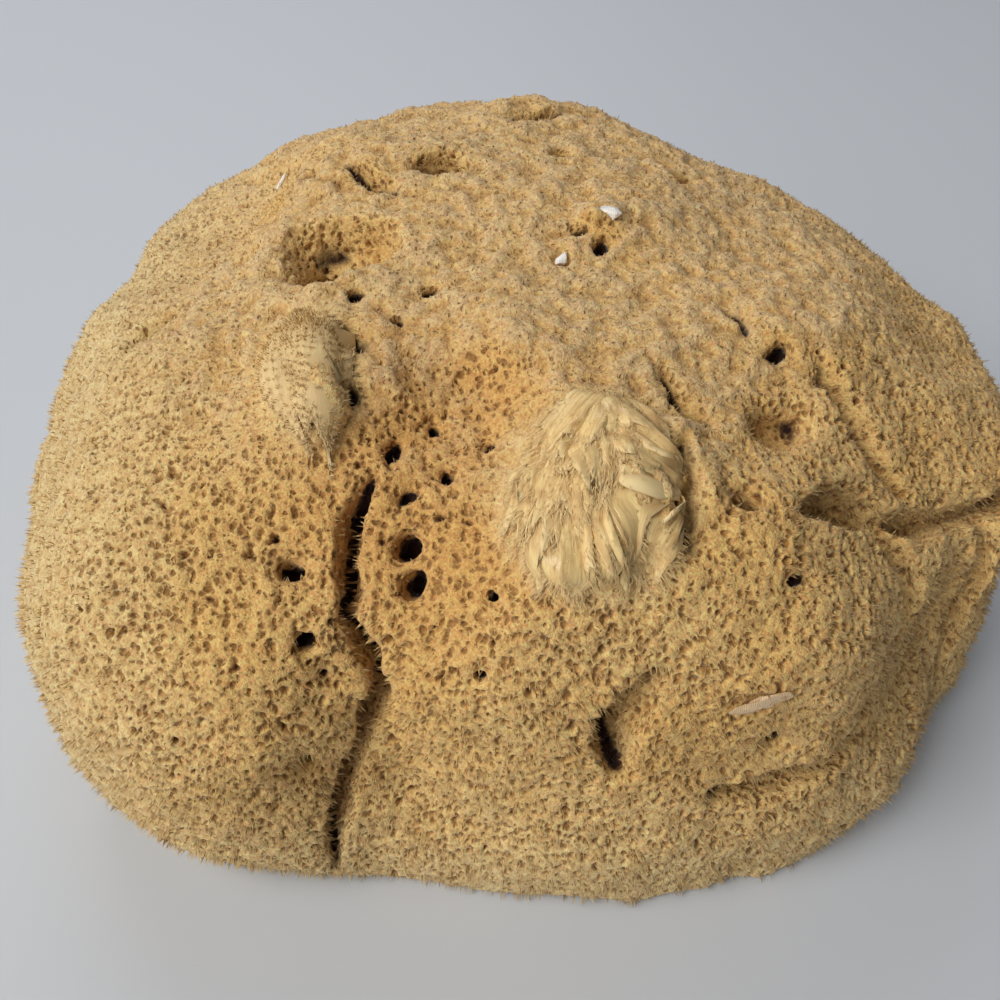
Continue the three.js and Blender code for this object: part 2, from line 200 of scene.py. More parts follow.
# Deep places that let no light out, which are too wide to be found by their narrowness; painted shade darkens
# the skin's colour there.
DEEP = (
    ((-44, -8.5, 92), (7, 6, 11)),
    ((18, -90, 55), (9, 9, 13)),
    ((-31, -36, 98), (4, 8, 8)),
    ((-29, -48, 93), (4, 6, 7)),
    ((-37, -94, 40), (5, 6, 5)),
    ((-40.5, 3, 94), (4.5, 5, 5)),
    ((-19.5, 23, 106), (3, 5, 5)),
)

# The long front cleft, from below upward, in millimetres: height, and how far along X.
CLEFT_HEIGHT = (6, 22, 38, 50, 59, 67, 76, 80, 90)
CLEFT_X = (-37.6, -35.6, -30.6, -26.6, -25.6, -26.6, -28.6, -30.6, -25.6)

APEX = np.array((13.5, -48.0))  # the top of the torn tuft, seen from above, in millimetres
BITS_OF_SHELL = ("shell_chip_crown", "shell_grain_crown", "spine_sliver", "shell_flake_front")
BARED = 1.1 * MM                # how much lower the skin lies around them

SMOOTHED_FAR = 110  # rounds of smoothing that close every hollow
SMOOTHED_NEAR = 14  # rounds that close only the narrow ones
EVENED = 60         # rounds that even the facets


def rise(values, low, span):
    """0 up to low, then a straight rise to 1 over the span."""
    return np.clip((values - low) / span, 0, 1)


def within(place, middle, half, soft=0.35):
    """1 inside an oval, falling to 0 outside it."""
    far = np.linalg.norm((place / MM - np.array(middle)) / np.array(half), axis=1)
    return np.clip((1 + soft / 2 - far) / soft, 0, 1)


def beside_cleft(place):
    """1 on both banks of the long front cleft, and in it."""
    x, y, z = place.T / MM
    away = np.abs(x - np.interp(z, CLEFT_HEIGHT, CLEFT_X))
    return np.clip(5 - away, 0, 1) * (y < -50)


def folds_of_tuft(place):
    """The folds that run down and out from the top of the torn tuft, as heights, and the creases between."""
    x, y, _ = place.T / MM
    away = np.hypot(x - APEX[0], y - APEX[1])
    turn = np.arctan2(x - APEX[0], APEX[1] - y)
    wave = np.sin(9.5 * turn + 0.13 * away + 0.6) + 0.45 * np.sin(23 * turn - 0.25 * away)
    grown = np.clip(away / 16, 0, 1.2)
    crease = grown * np.exp(-(wave / 0.28) ** 2) * (0.5 + 0.5 * np.sin(0.5 * away + 6 * turn))
    return grown * (1.5 * np.abs(wave) ** 0.7 - 0.8) * MM, np.clip(crease, 0, 1)


def bared(place):
    """1 around the bits of shell."""
    bare = np.zeros(len(place))
    for name in BITS_OF_SHELL:
        low, high = np.array(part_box(name))
        bare = np.maximum(bare, within(place, (low + high) / 2 / MM, (high - low) / 2 / MM + 0.6, 0.5))
    return bare


def painted_shade(place, pairs, depth, tight):
    """Painted shade for the skin's colour: 1 deep in holes and clefts, and less on the far right, whose
    valleys are wide open.
    """
    narrow = rise(tight, 0.5, 0.3) * (1 - within(place, *CROWN_HOLLOW))
    for _ in range(7):
        narrow = np.clip(np.maximum(narrow, 2.2 * averaged(narrow, pairs)), 0, 1)
    deep = beside_cleft(place) * (depth > 1.8)
    for spot in DEEP:
        deep = np.maximum(deep, within(place, *spot))
    dark = np.maximum(narrow * rise(depth, 0.5, 0.7), deep * rise(depth, 0.3, 0.9))
    return dark * (1 - 0.7 * rise(place[:, 0] / MM, 52, 5))


def describe(mesh):
    """Smooths the facets but not the pits, and marks how deep each point lies in a hollow, how calm and how
    pale its skin is, and the way out of the sponge there."""
    place = points_of(mesh)
    pairs = links_of(mesh)
    smooth = place.copy()
    for count in range(SMOOTHED_FAR):
        if count == SMOOTHED_NEAR:
            near = smooth.copy()
        smooth += 0.9 * (averaged(smooth, pairs) - smooth)
    even = mesh.copy()
    move_points(even, smooth)
    out = points_of(even, name="normal")
    bpy.data.meshes.remove(even)
    depth = ((smooth - place) * out).sum(axis=1) / MM
    tight = ((near - place) * out).sum(axis=1) / MM
    guarded = rise(np.abs(depth), 0.7, 0.5)
    for _ in range(4):
        guarded = np.maximum(guarded, averaged(guarded, pairs))
    bare = bared(place)
    loose = (1 - guarded)[:, None]
    for _ in range(EVENED):
        place += loose * 0.6 * (averaged(place, pairs) - place)
    for _ in range(4):
        place += 0.5 * (averaged(place, pairs) - place)
    tuft = within(place, *TORN_TUFT)
    folds, crease = folds_of_tuft(place)
    place += out * (tuft * folds - bare * BARED)[:, None]
    move_points(mesh, place)
    x, _, z = place.T / MM
    top = rise(out[:, 2], 0.72, 0.2) * rise(z, 84, 12)
    left = rise(-x, 55, 35)
    low_down = rise(-z, -45, 40)
    torn = np.maximum(within(place, *EAR), tuft)
    fields = {
        "out": out,
        "depth": depth,
        # painted shade, 1 deep in holes and clefts
        "dark": painted_shade(place, pairs, depth, tight),
        "waxy": tuft,
        "crease": tuft * crease,
        "bare": bare,
        "calm": np.clip(np.maximum(np.maximum(0.8 * top, torn), 0.6 * left), 0, 1),
        "top": top * (1 - torn),
        "orange": within(place, *ORANGE_HOLLOW, soft=0.9) * (1 - torn),
        "pale": np.clip(np.maximum(left, 0.8 * low_down) + 0.5 * torn, 0, 1),
    }
    for name, values in fields.items():
        set_field(mesh, name, values)
    return mesh


def pore_tree():
    """The nodes that push the pores, walls and lumps into the fine skin."""
    tree = bpy.data.node_groups.new("sponge skin", "GeometryNodeTree")
    tree.interface.new_socket("Geometry", in_out="INPUT", socket_type="NodeSocketGeometry")
    tree.interface.new_socket("Geometry", in_out="OUTPUT", socket_type="NodeSocketGeometry")
    start = put(tree, "NodeGroupInput").outputs[0]
    place = put(tree, "GeometryNodeInputPosition").outputs[0]

    def field(name, kind="FLOAT"):
        node = put(tree, "GeometryNodeInputNamedAttribute", {"Name": name}, data_type=kind)
        return node.outputs["Attribute"]

    def store(geometry, name, value, kind="FLOAT"):
        inputs = {"Geometry": geometry, "Name": name, "Value": value}
        node = put(tree, "GeometryNodeStoreNamedAttribute", inputs, data_type=kind, domain="POINT")
        return node.outputs[0]

    def scaled(value, by, less=0.0):
        return sum_of(tree, "MULTIPLY", sum_of(tree, "SUBTRACT", value, less), by)

    calm = field("calm")
    wide_pores, pores, holes, crumple = pore_pattern(tree, place, calm)
    holes = sum_of(tree, "MULTIPLY", holes, ramp(tree, field("orange"), 0.1, 0.5, 0.0, 1.0))
    parts = [
        sum_of(tree, "MULTIPLY", wide_pores, ramp(tree, calm, 0.0, 1.0, -1.4, -0.6)),
        sum_of(tree, "MULTIPLY", pores, ramp(tree, calm, 0.0, 1.0, -0.95, -0.35)),
        scaled(holes, -2.6),
        scaled(noise(tree, place, 9 * MM, 2.0).outputs[0], 2.4, 0.5),
        sum_of(tree, "MULTIPLY", scaled(crumple, 1.0, 0.5), ramp(tree, field("top"), 0.0, 1.0, 1.2, 4.2)),
        scaled(noise(tree, place, 1.1 * MM, 2.0, 0.7).outputs[0], 1.1, 0.5),
    ]
    height = sum_of(tree, "ADD", parts[0], -0.15)
    for part in parts[1:]:
        height = sum_of(tree, "ADD", height, part)
    height = sum_of(tree, "MULTIPLY", height, ramp(tree, field("depth"), 1.0, 5.0, 1.0, 0.4))
    height = sum_of(tree, "MULTIPLY", height, ramp(tree, field("bare"), 0.0, 1.0, 1.0, 0.2))
    height = sum_of(tree, "MULTIPLY", height, MM)
    inputs = {0: field("out", "FLOAT_VECTOR"), "Scale": height}
    push = put(tree, "ShaderNodeVectorMath", inputs, operation="SCALE")
    kept = store(start, "rest", place, "FLOAT_VECTOR")
    kept = store(kept, "pit", sum_of(tree, "MAXIMUM", pores, wide_pores))
    moved = put(tree, "GeometryNodeSetPosition", {"Geometry": kept, "Offset": push.outputs[0]}).outputs[0]
    put(tree, "NodeGroupOutput", {0: moved})
    return tree


def above_floor(mesh):
    """Lifts what dips into the floor, and gives back where the points are then."""
    place = points_of(mesh)
    place[:, 2] = np.maximum(place[:, 2], FLOOR_GAP)
    move_points(mesh, place)
    return place


def grow_pores(mesh):
    """The fine skin with its pores, thinned out most where it is hidden, underneath and deep in the pits."""
    rough = new_object("rough", mesh)
    rough.modifiers.new("pores", "NODES").node_group = pore_tree()
    grown = evaluated(rough)
    place = above_floor(grown)
    rough.modifiers.clear()
    rough.data = grown
    hidden = rough.vertex_groups.new(name="hidden")
    under = (place[:, 2] < 1.2 * MM) | (get_field(grown, "depth") > 4)
    hidden.add(np.flatnonzero(~under).tolist(), 0.4, "REPLACE")
    hidden.add(np.flatnonzero(under).tolist(), 1.0, "REPLACE")
    thin = rough.modifiers.new("thin out", "DECIMATE")
    thin.ratio = SKIN_TRIANGLES / (2 * len(grown.polygons))
    thin.vertex_group = "hidden"
    thin.vertex_group_factor = 0.3
    thinned = evaluated(rough)
    bpy.data.objects.remove(rough)
    above_floor(thinned)
    return thinned


SKIN_FIELDS = ("rest", "depth", "dark", "calm", "top", "orange", "pale", "waxy", "crease")


def mesh_from(name, points, faces, fields, normals=None):
    """A mesh from arrays, all its faces with the same number of corners."""
    mesh = bpy.data.meshes.new(name)
    corners = faces.shape[1]
    mesh.vertices.add(len(points))
    mesh.vertices.foreach_set("co", points.astype(np.float32).ravel())
    mesh.loops.add(faces.size)
    mesh.loops.foreach_set("vertex_index", faces.astype(np.int32).ravel())
    mesh.polygons.add(len(faces))
    mesh.polygons.foreach_set("loop_start", np.arange(0, faces.size, corners, dtype=np.int32))
    mesh.polygons.foreach_set("use_smooth", np.ones(len(faces), bool))
    mesh.update(calc_edges=True)
    for field, values in fields.items():
        set_field(mesh, field, values)
    if normals is not None:
        mesh.normals_split_custom_set_from_vertices(normals.tolist())
    return mesh


def add_piece(name, mesh, material, stands_for=("sponge",)):
    piece = new_object(name, mesh)
    mesh.materials.clear()
    mesh.materials.append(material)
    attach(piece, "root")
    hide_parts(*stands_for)


def lay_skin(skin, material):
    """The skin as pieces, each a sector of the sponge, so that none grows too heavy."""
    points = points_of(skin)
    normals = points_of(skin, name="normal")
    skin.calc_loop_triangles()
    faces = np.empty(len(skin.loop_triangles) * 3, np.int32)
    skin.loop_triangles.foreach_get("vertices", faces)
    faces = faces.reshape(-1, 3)
    fields = {name: get_field(skin, name) for name in SKIN_FIELDS}
    middle = points[faces].mean(axis=1)
    turn = np.argsort(np.arctan2(middle[:, 1], middle[:, 0]))
    sectors = math.ceil(len(faces) / PIECE_TRIANGLES)
    for number, chosen in enumerate(np.array_split(turn, sectors)):
        used, local = np.unique(faces[chosen], return_inverse=True)
        part = {name: values[used] for name, values in fields.items()}
        mesh = mesh_from("skin", points[used], local.reshape(-1, 3), part, normals[used])
        add_piece(f"skin_{number + 1}", mesh, material)


# The coat of short fibres that stand in small tufts on the walls between the pores.

CLUMPS = 38000
FIBRES_PER_CLUMP = 5
FIBRES_A_PIECE = 190000  # each of one triangle
FIBRE_ROOT = 0.3 * MM    # how far the fibres' feet are sunk in the skin


def unit(vectors):
    return vectors / np.linalg.norm(vectors, axis=-1, keepdims=True)


def area_around(skin):
    """How much of the skin belongs to each of its points."""
    skin.calc_loop_triangles()
    corners = np.empty(len(skin.loop_triangles) * 3, np.int32)
    skin.loop_triangles.foreach_get("vertices", corners)
    areas = np.empty(len(skin.loop_triangles), np.float32)
    skin.loop_triangles.foreach_get("area", areas)
    return np.bincount(corners, np.repeat(areas, 3), minlength=len(skin.vertices))


def blades(name, foot, way, long, wide, out, bend, fields, material):
    """Flat tapering fibres that lean over with their faces up, each of three triangles with a bend, or of
    one without."""
    face = unit(out - way * (way * out).sum(axis=1, keepdims=True) + 1e-6)
    side = np.cross(way, face) * wide
    if bend is None:
        points = [foot - side, foot + side, foot + way * long]
        faces = np.array([[0, 1, 2]])
        share = [0.0, 0.0, 1.0]
    else:
        knee = foot + way * long * 0.5
        tip = knee + unit(way + bend) * long * 0.5
        points = [foot - side, foot + side, knee + side * 0.8, knee - side * 0.8, tip]
        faces = np.array([[0, 1, 2], [0, 2, 3], [3, 2, 4]])
        share = [0.0, 0.0, 0.5, 0.5, 1.0]
    count = len(points)
    corners = np.stack(points, axis=1)
    corners[:, :, 2] = np.maximum(corners[:, :, 2], FLOOR_GAP)
    normals = np.repeat(unit(face * 0.5 + out), count, axis=0)
    shade = rng.uniform(0, 1, len(foot))
    for number, start in enumerate(range(0, len(foot), FIBRES_A_PIECE)):
        part = slice(start, start + FIBRES_A_PIECE)
        some = corners[part]
        linked = (faces[None] + count * np.arange(len(some))[:, None, None]).reshape(-1, 3)
        own = {key: np.repeat(values[part], count, axis=0) for key, values in fields.items()}
        own["tip"] = np.tile(share, len(some))
        own["shade"] = np.repeat(shade[part], count)
        facing = normals[start * count:(start + len(some)) * count]
        mesh = mesh_from(name, some.reshape(-1, 3), linked, own, facing)
        add_piece(f"{name}_{number + 1}", mesh, material)


def grow_coat(skin, material):
    """Tufts on the walls, longer where the sponge is steep and on the banks of the cleft."""
    points = points_of(skin)
    fields = {name: get_field(skin, name) for name in SKIN_FIELDS}
    out = get_field(skin, "out").astype(np.float64)
    beside = beside_cleft(points)
    on_wall = np.clip((0.4 - get_field(skin, "pit")) / 0.4, 0, 1)
    chance = area_around(skin) * on_wall * (get_field(skin, "bare") < 0.1)
    chance *= (fields["depth"] < 0.7 + beside) * (points[:, 2] > 0.8 * MM)
    chance *= (1 - fields["waxy"]) * (1 - 0.7 * fields["orange"])
    chosen = rng.choice(len(points), CLUMPS, p=chance / chance.sum(), replace=False)
    root = np.repeat(chosen, FIBRES_PER_CLUMP)
    count = len(root)
    top = fields["top"][root][:, None]
    steep = np.clip((0.75 - out[root][:, 2:3]) / 0.5, 0, 1)
    across = points_of(skin, name="normal")[root]
    lean = np.repeat(rng.normal(0, 0.16, (CLUMPS, 3)), FIBRES_PER_CLUMP, axis=0) * (1 + 1.5 * top)
    droop = np.array([0, 0, -0.15]) * steep
    rim = beside[root][:, None] * np.clip(fields["depth"][root][:, None], 0, 1)
    way = unit(out[root] + 1.5 * rim * across + droop + lean + rng.normal(0, 0.06, (count, 3)))
    high = np.repeat(rng.uniform(0.65, 1.3, (CLUMPS, 1)), FIBRES_PER_CLUMP, axis=0)
    grown = 0.8 - 0.25 * top + 0.65 * steep + 0.5 * rim
    long = high * rng.uniform(0.8, 1.05, (count, 1)) * grown * MM
    spread = rng.normal(0, 0.26, (count, 3)) * MM
    foot = points[root] + spread - way * FIBRE_ROOT
    wide = rng.uniform(0.07, 0.12, (count, 1)) * MM
    drawn = unit(way * long - spread * 0.8)
    own = {name: values[root] for name, values in fields.items()}
    blades("fibre_coat", foot, drawn, long + FIBRE_ROOT, wide, out[root], None, own, material)


# Torn sheets that lie over one another on the tuft, and the ear.

FLAP_ROWS = 22
FLAP_COLUMNS = 19
TUFT_FLAPS = 26
FLAP_FIBRES = 24000
FLAP_THICK = 0.28 * MM
LAID_ON = 24  # how many of the skin's points carry each point of a sheet

# Each point of a sheet: how far down from its root, how far to the side, and how near its torn edge.
ROW, COLUMN = (grid.ravel() for grid in np.meshgrid(
    np.linspace(0, 1, FLAP_ROWS), np.linspace(-1, 1, FLAP_COLUMNS), indexing="ij"))
EDGE = np.clip(np.maximum(np.abs(COLUMN), ROW) * 5 - 4, 0, 1)


def draped(tree, points, out, guess):
    """The nearest place on the skin to each guess, evened over the pores, and the way out there."""
    place = guess.copy()
    way = np.zeros_like(guess)
    for _ in range(3):
        for number, spot in enumerate(place):
            near = [index for _, index, _ in tree.find_n(spot, LAID_ON)]
            way[number] = unit(out[near].mean(axis=0))
            place[number] += way[number] * ((points[near] - spot) @ way[number]).mean()
    return place, way


def flap_spines():
    """Where each sheet begins, the way it runs, its length, its half-width and how far it stands off the
    skin, in millimetres; the ear comes first, then the tuft's sheets from the lowest to the topmost."""
    yield np.array((-42.0, -28.0, 104.0)), np.array((0.2, -1.0, -0.3)), 33, 7.6, 1.9
    for number in range(TUFT_FLAPS):
        share = number / (TUFT_FLAPS - 1)
        turn = rng.uniform(-0.62, 0.42)
        start = rng.uniform(15, 25) * (1 - share) + rng.uniform(0, 7) * share
        run = np.array((math.sin(turn), -math.cos(turn), -0.45))
        begin = np.array((APEX[0], APEX[1], 97)) + run * start
        yield begin, run, rng.uniform(9, 15), rng.uniform(2.6, 5.2), rng.uniform(0.5, 1.5) + 0.8 * share


def near_front(skin):
    """The skin's points around the ear and the tuft, the ways out there, and a tree to find them by."""
    points = points_of(skin)
    out = get_field(skin, "out").astype(np.float64)
    x, y, z = points.T / MM
    close = np.flatnonzero((np.abs(x) < 60) & (y < -15) & (z > 50))
    tree = KDTree(len(close))
    for number, spot in enumerate(points[close]):
        tree.insert(spot, number)
    tree.balance()
    return tree, points[close], out[close]


def sheet_spread(run, long, wide, ear, phase):
    """How far each point of a sheet lies from its beginning, with a ragged end and wavy sides."""
    side = unit(np.cross(run, (0, 0, 1)))
    notch = np.tile(rng.normal(0, 0.02 if ear else 0.06, FLAP_COLUMNS), FLAP_ROWS) * ROW ** 3
    ragged = 1 + notch + 0.12 * np.sin(4 * COLUMN + phase[0]) + 0.09 * np.sin(11 * COLUMN + phase[1])
    if ear:
        taper = np.interp(ROW, (0, 0.15, 0.5, 0.75, 1), (0.6, 0.95, 1.05, 0.85, 0.5))
    else:
        taper = np.interp(ROW, (0, 0.25, 0.8, 1), (0.4, 0.9, 1.0, 0.8))
    bulge = 1 + 0.12 * np.sin(6 * ROW + phase[2]) + 0.06 * np.sin(15 * ROW + phase[3])
    return np.outer(ROW * long * ragged, run) + np.outer(COLUMN * wide * taper * bulge, side)


def sheet_lift(lift, ear, phase):
    """How far each point of a sheet stands off the skin: its ruffles, its free end and its sunken root."""
    ruffle = 1.1 * np.sin(3.4 * COLUMN + phase[4] + 2 * ROW) + 0.5 * np.sin(8 * COLUMN - 3 * ROW + phase[0])
    if ear:
        free = lift * (0.35 + 0.65 * np.clip(COLUMN + 0.4, 0, 1)) + 0.25 * ruffle
    else:
        free = np.clip(ROW * 1.3, 0, 1) * lift + 0.8 * ruffle * ROW
    sunken = 1.2 * (1 - np.clip(ROW * 6, 0, 1))
    return free * (1 - 0.25 * EDGE) + rng.normal(0, 0.04, len(ROW)) - sunken


def lay_flaps(skin, material, fibre_material):
    """Thin torn sheets with ruffled faces and ragged ends, and the fine fibres that fringe them."""
    around = near_front(skin)
    sheets, weaves, ways, runs = [], [], [], []
    for begin, run, long, wide, lift in flap_spines():
        ear = not sheets
        run = unit(run)
        phase = rng.uniform(0, 6, 5)
        place, way = draped(*around, (begin + sheet_spread(run, long, wide, ear, phase)) * MM)
        weave = [COLUMN * wide, ROW * long * 0.12, np.full(len(ROW), 9.0 * (len(sheets) + 1))]
        fan = unit(np.cross(run, (0, 0, 1))) * (COLUMN * (1.4 if ear else 0.7))[:, None]
        sheets.append(place + way * sheet_lift(lift, ear, phase)[:, None] * MM)
        weaves.append(np.stack(weave, axis=1) * MM)
        ways.append(way)
        runs.append(unit(run + fan))
    place, way, run = np.concatenate(sheets), np.concatenate(ways), np.concatenate(runs)
    on_ear = np.arange(len(place)) < len(ROW)
    edge = np.tile(EDGE, len(sheets))
    own = {"rest": place, "weave": np.concatenate(weaves), "edge": edge, "ear": on_ear.astype(float)}
    quads = np.arange(len(ROW)).reshape(FLAP_ROWS, FLAP_COLUMNS)
    quads = np.stack([quads[:-1, :-1], quads[:-1, 1:], quads[1:, 1:], quads[1:, :-1]], axis=-1).reshape(-1, 4)
    linked = np.concatenate([quads + len(ROW) * number for number in range(len(sheets))])
    draft = new_object("draft", mesh_from("torn sheets", place, linked, own))
    thick = draft.modifiers.new("thick", "SOLIDIFY")
    thick.thickness = FLAP_THICK
    thick.offset = 0
    mesh = evaluated(draft)
    bpy.data.objects.remove(draft)
    add_piece("torn_sheets", mesh, material)
    weight = np.where(on_ear, 9.0, 0.25 + 1.6 * edge * (np.tile(ROW, len(sheets)) > 0.3))
    fringe_sheets(place, way, run, edge, on_ear, weight, fibre_material)


def fringe_sheets(place, way, run, edge, on_ear, weight, material):
    """Fine fibres on the sheets, thickest where the weight is and longest along the torn edges."""
    root = rng.choice(len(place), FLAP_FIBRES, p=weight / weight.sum(), replace=True)
    rim = edge[root][:, None]
    ear = on_ear[root][:, None]
    off = way[root] * rng.uniform(0.1, 0.6, (FLAP_FIBRES, 1)) * (1 + 2 * ear)
    go = unit(run[root] * (0.3 + rim) * (1 - 0.6 * ear) + off + rng.normal(0, 0.2, (FLAP_FIBRES, 3)))
    long = rng.uniform(0.4, 1.1, (FLAP_FIBRES, 1)) * (1 + 1.1 * rim * ~ear) * MM
    foot = place[root] + rng.normal(0, 0.25, (FLAP_FIBRES, 3)) * MM - go * 0.1 * MM
    thin = rng.uniform(0.045, 0.09, (FLAP_FIBRES, 1)) * MM
    blades("torn_fringe", foot, go, long, thin, way[root], way[root] * -0.3, {"rest": foot}, material)


# Bits of shell.

CHIP_SPOTS = 18          # spots whose hull is one chip
CHIP_WORN = 0.07 * MM    # how far its edges are worn


def shard(name, node, material, grow=1.15, chips=1, lift=0.0):
    """Bits of broken shell in the place of their solid, with flat faces and sharp, slightly worn edges."""
    solid = points_of(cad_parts[node].data)
    middle = solid.mean(axis=0) + np.array((0, 0, lift))
    _, _, axes = np.linalg.svd(solid - middle)
    half = np.abs((solid - middle) @ axes.T).max(axis=0) * grow
    shape = bmesh.new()
    for _ in range(chips):
        spots = unit(rng.normal(0, 1, (CHIP_SPOTS, 3))) * rng.uniform(0.8, 1.0, (CHIP_SPOTS, 1))
        spots *= np.array([1.0, 1.0, 0.8])
        shift = rng.uniform(-0.65, 0.65, 3) * np.array([1, 0.7, 0.5]) if chips > 1 else np.zeros(3)
        size = rng.uniform(0.3, 0.6) if chips > 1 else 1.0
        spots = middle + ((spots * size + shift) * half) @ axes
        made = [shape.verts.new(spot) for spot in spots]
        hull = bmesh.ops.convex_hull(shape, input=made)
        bmesh.ops.delete(shape, geom=hull["geom_interior"], context="VERTS")
    bmesh.ops.bevel(
        shape, geom=shape.edges[:], offset=CHIP_WORN, segments=2, affect="EDGES", clamp_overlap=True)
    bmesh.ops.triangulate(shape, faces=shape.faces[:])
    mesh = bpy.data.meshes.new(name)
    shape.to_mesh(mesh)
    shape.free()
    set_field(mesh, "rest", points_of(mesh) - middle)
    add_piece(name, mesh, material, (node,))


# Materials.

MARKS = ("Depth", "Dark", "Calm", "Top", "Orange", "Pale", "Waxy", "Crease")


def sponge_group():
    """The sponge's colour at a place: tan walls, orange in the hollow, paler at the left and low down, with
    painted shade in its pores, holes, creases, dips and depths.
    """
    tree = bpy.data.node_groups.new("sponge colour", "ShaderNodeTree")
    given = ("Place", *MARKS)
    for name in given:
        kind = "Vector" if name == "Place" else "Float"
        tree.interface.new_socket(name, in_out="INPUT", socket_type=f"NodeSocket{kind}")
    tree.interface.new_socket("Color", in_out="OUTPUT", socket_type="NodeSocketColor")
    tree.interface.new_socket("Height", in_out="OUTPUT", socket_type="NodeSocketFloat")
    values = list(put(tree, "NodeGroupInput").outputs)[:len(given)]
    place, depth, dark, calm, top, orange, pale, waxy, crease = values

    def times(*values):
        product = values[0]
        for value in values[1:]:
            product = sum_of(tree, "MULTIPLY", product, value)
        return product

    wide_pores, pores, holes, crumple = pore_pattern(tree, place, calm)
    broad = noise(tree, place, 26 * MM, 3.0).outputs[0]
    small = noise(tree, place, 3.4 * MM, 3.0).outputs[0]
    fine = noise(tree, place, 0.45 * MM, 2.0, 0.7).outputs[0]
    grains = noise(tree, place, 0.9 * MM, 2.0, 0.6).outputs[0]
    color = mix(tree, ramp(tree, broad, 0.35, 0.65), (0.72, 0.45, 0.15, 1), (0.76, 0.51, 0.20, 1))
    color = mix(tree, times(pale, 0.85), color, (0.71, 0.56, 0.29, 1))
    color = mix(tree, ramp(tree, small, 0.35, 0.75, 0.0, 0.5), color, (0.60, 0.36, 0.12, 1))
    color = mix(tree, times(orange, 0.7), color, (0.66, 0.36, 0.11, 1))
    dusty = times(top, ramp(tree, crumple, 0.38, 0.6))
    # painted shade in the dips between the crown's lumps
    color = mix(tree, times(top, ramp(tree, crumple, 0.3, 0.5, 0.75, 0.0)), color, (0.44, 0.24, 0.09, 1))
    color = mix(tree, times(dusty, 0.7), color, (0.66, 0.47, 0.25, 1))
    # painted shade in the pores: darker brown in the common ones, darker still in the wide ones, and less on
    # calm skin
    inside = ramp(tree, calm, 0.0, 1.0, 0.9, 0.5)
    color = mix(tree, times(pores, inside), color, (0.38, 0.19, 0.055, 1))
    color = mix(tree, times(wide_pores, inside), color, (0.24, 0.10, 0.025, 1))
    wax = mix(tree, ramp(tree, small, 0.4, 0.6), (0.60, 0.37, 0.14, 1), (0.74, 0.53, 0.25, 1))
    color = mix(tree, times(waxy, 0.8), color, wax)
    # painted shade in the creases between the torn tuft's folds
    color = mix(tree, times(crease, 0.8), color, (0.50, 0.27, 0.09, 1))
    # painted shade in the holes of the orange hollow: near black
    color = mix(tree, times(holes, ramp(tree, orange, 0.1, 0.5, 0.0, 1.0)), color, (0.04, 0.012, 0.005, 1))
    # painted shade: darker brown the deeper the skin lies in a hollow
    color = mix(tree, ramp(tree, depth, 1.0, 3.0, 0.0, 0.6), color, (0.34, 0.16, 0.05, 1))
    # painted shade: near black deep in holes and clefts
    color = mix(tree, dark, color, (0.032, 0.011, 0.006, 1))
    granular = sum_of(tree, "ADD", times(fine, 0.5), times(grains, 0.5))
    grey = mix(tree, ramp(tree, granular, 0.3, 0.7), (0.12, 0.12, 0.12, 1), (0.88, 0.88, 0.88, 1))
    color = mix(tree, 0.42, color, grey, "OVERLAY")
    height = sum_of(tree, "ADD", times(pores, -1.0), times(granular, 1.3))
    height = sum_of(tree, "ADD", height, times(wide_pores, -0.8))
    put(tree, "NodeGroupOutput", {0: color, 1: height})
    return tree


def finish(name):
    material = bpy.data.materials.new(name)
    material.use_nodes = True
    tree = material.node_tree
    tree.nodes.clear()
    shader = put(tree, "ShaderNodeBsdfPrincipled")
    put(tree, "ShaderNodeOutputMaterial", {0: shader.outputs[0]})

    def field(field_name, output="Fac"):
        return put(tree, "ShaderNodeAttribute", attribute_name=field_name).outputs[output]

    return material, tree, shader, field


def bump_up(tree, shader, height, strength, distance):
    inputs = {"Strength": strength, "Distance": distance, "Height": height}
    bump = put(tree, "ShaderNodeBump", inputs)
    tree.links.new(bump.outputs[0], shader.inputs["Normal"])


def sponge_material(name, colour_group, fibres=False):
    """The sponge's colour, with lighter tips (partly the fibres' own paler colour, partly painted light) and
    darker feet (painted shade) on its fibres, and a glaze on its skin.
    """
    material, tree, shader, field = finish(name)
    inputs = {"Place": field("rest", "Vector")}
    for mark in MARKS:
        inputs[mark] = field(mark.lower())
    own = put(tree, "ShaderNodeGroup", node_tree=colour_group)
    for key, value in inputs.items():
        tree.links.new(value, own.inputs[key])
    color = own.outputs["Color"]
    if fibres:
        # paler towards the tips: partly the fibres' own paler colour, partly painted light
        color = mix(tree, ramp(tree, field("tip"), 0.1, 0.9, 0.0, 0.65), color, (0.86, 0.65, 0.31, 1))
        color = mix(tree, ramp(tree, field("shade"), 0.3, 1.0, 0.0, 0.3), color, (0.62, 0.40, 0.16, 1))
        # painted shade: darker at the fibres' feet, where they shade one another
        color = mix(tree, ramp(tree, field("tip"), 0.0, 0.6, 0.6, 0.0), color, (0.40, 0.20, 0.06, 1))
        shader.inputs["Roughness"].default_value = 0.9
    else:
        bump_up(tree, shader, own.outputs["Height"], 0.8, 0.45 * MM)
        glaze = noise(tree, field("rest", "Vector"), 5 * MM, 2.0).outputs[0]
        glaze = sum_of(tree, "MULTIPLY", ramp(tree, glaze, 0.5, 0.62), field("waxy"))
        tree.links.new(ramp(tree, glaze, 0.0, 1.0, 0.9, 0.3), shader.inputs["Roughness"])
    tree.links.new(color, shader.inputs["Base Color"])
    shader.inputs["Specular IOR Level"].default_value = 0.2
    shader.inputs["Sheen Weight"].default_value = 0.15
    shader.inputs["Sheen Roughness"].default_value = 0.5
    return material


